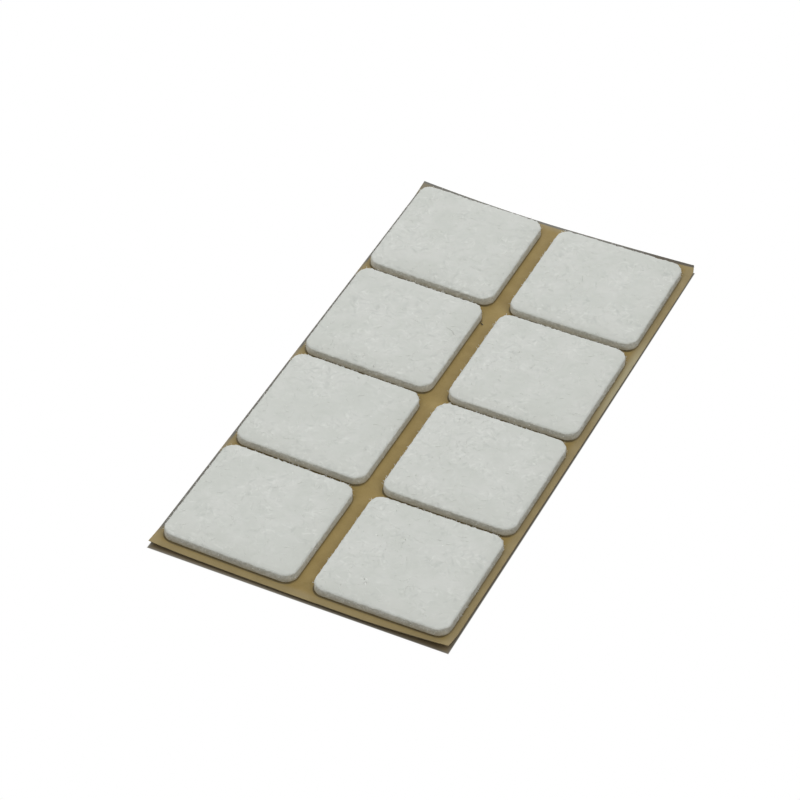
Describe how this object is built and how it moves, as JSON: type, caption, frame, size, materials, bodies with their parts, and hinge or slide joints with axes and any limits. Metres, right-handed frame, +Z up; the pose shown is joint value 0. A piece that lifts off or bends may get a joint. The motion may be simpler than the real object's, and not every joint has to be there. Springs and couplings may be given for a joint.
{
  "type": "furniture slider pad sheet",
  "caption": "Sheet of square white felt furniture slider pads with rounded corners, each with an adhesive film that peels off a shared brown kraft release liner.",
  "frame": {"origin": "middle of the release liner's underside", "axes": "+Z up through the pads, +Y along the card from its front to its back, +X across the card to the right"},
  "size_m": [0.0848, 0.1668, 0.0033],
  "materials": {
    "kraft_liner": "satin",
    "adhesive": "satin",
    "white_felt": "matte"
  },
  "bodies": {
    "liner": {"release_liner": "kraft_liner"},
    "pad_left_1": {"felt_pad_left_1": "white_felt", "adhesive_left_1": "adhesive"},
    "pad_left_2": {"felt_pad_left_2": "white_felt", "adhesive_left_2": "adhesive"},
    "pad_left_3": {"felt_pad_left_3": "white_felt", "adhesive_left_3": "adhesive"},
    "pad_left_4": {"felt_pad_left_4": "white_felt", "adhesive_left_4": "adhesive"},
    "pad_right_1": {"felt_pad_right_1": "white_felt", "adhesive_right_1": "adhesive"},
    "pad_right_2": {"felt_pad_right_2": "white_felt", "adhesive_right_2": "adhesive"},
    "pad_right_3": {"felt_pad_right_3": "white_felt", "adhesive_right_3": "adhesive"},
    "pad_right_4": {"felt_pad_right_4": "white_felt", "adhesive_right_4": "adhesive"}
  },
  "joints": [
    {"name": "peel_left_1", "type": "slide", "parent": "liner", "child": "pad_left_1", "axis": [0, 0, 1], "range_m": [0, 0.012]},
    {"name": "peel_left_2", "type": "slide", "parent": "liner", "child": "pad_left_2", "axis": [0, 0, 1], "range_m": [0, 0.012]},
    {"name": "peel_left_3", "type": "slide", "parent": "liner", "child": "pad_left_3", "axis": [0, 0, 1], "range_m": [0, 0.012]},
    {"name": "peel_left_4", "type": "slide", "parent": "liner", "child": "pad_left_4", "axis": [0, 0, 1], "range_m": [0, 0.012]},
    {"name": "peel_right_1", "type": "slide", "parent": "liner", "child": "pad_right_1", "axis": [0, 0, 1], "range_m": [0, 0.012]},
    {"name": "peel_right_2", "type": "slide", "parent": "liner", "child": "pad_right_2", "axis": [0, 0, 1], "range_m": [0, 0.012]},
    {"name": "peel_right_3", "type": "slide", "parent": "liner", "child": "pad_right_3", "axis": [0, 0, 1], "range_m": [0, 0.012]},
    {"name": "peel_right_4", "type": "slide", "parent": "liner", "child": "pad_right_4", "axis": [0, 0, 1], "range_m": [0, 0.012]}
  ]
}
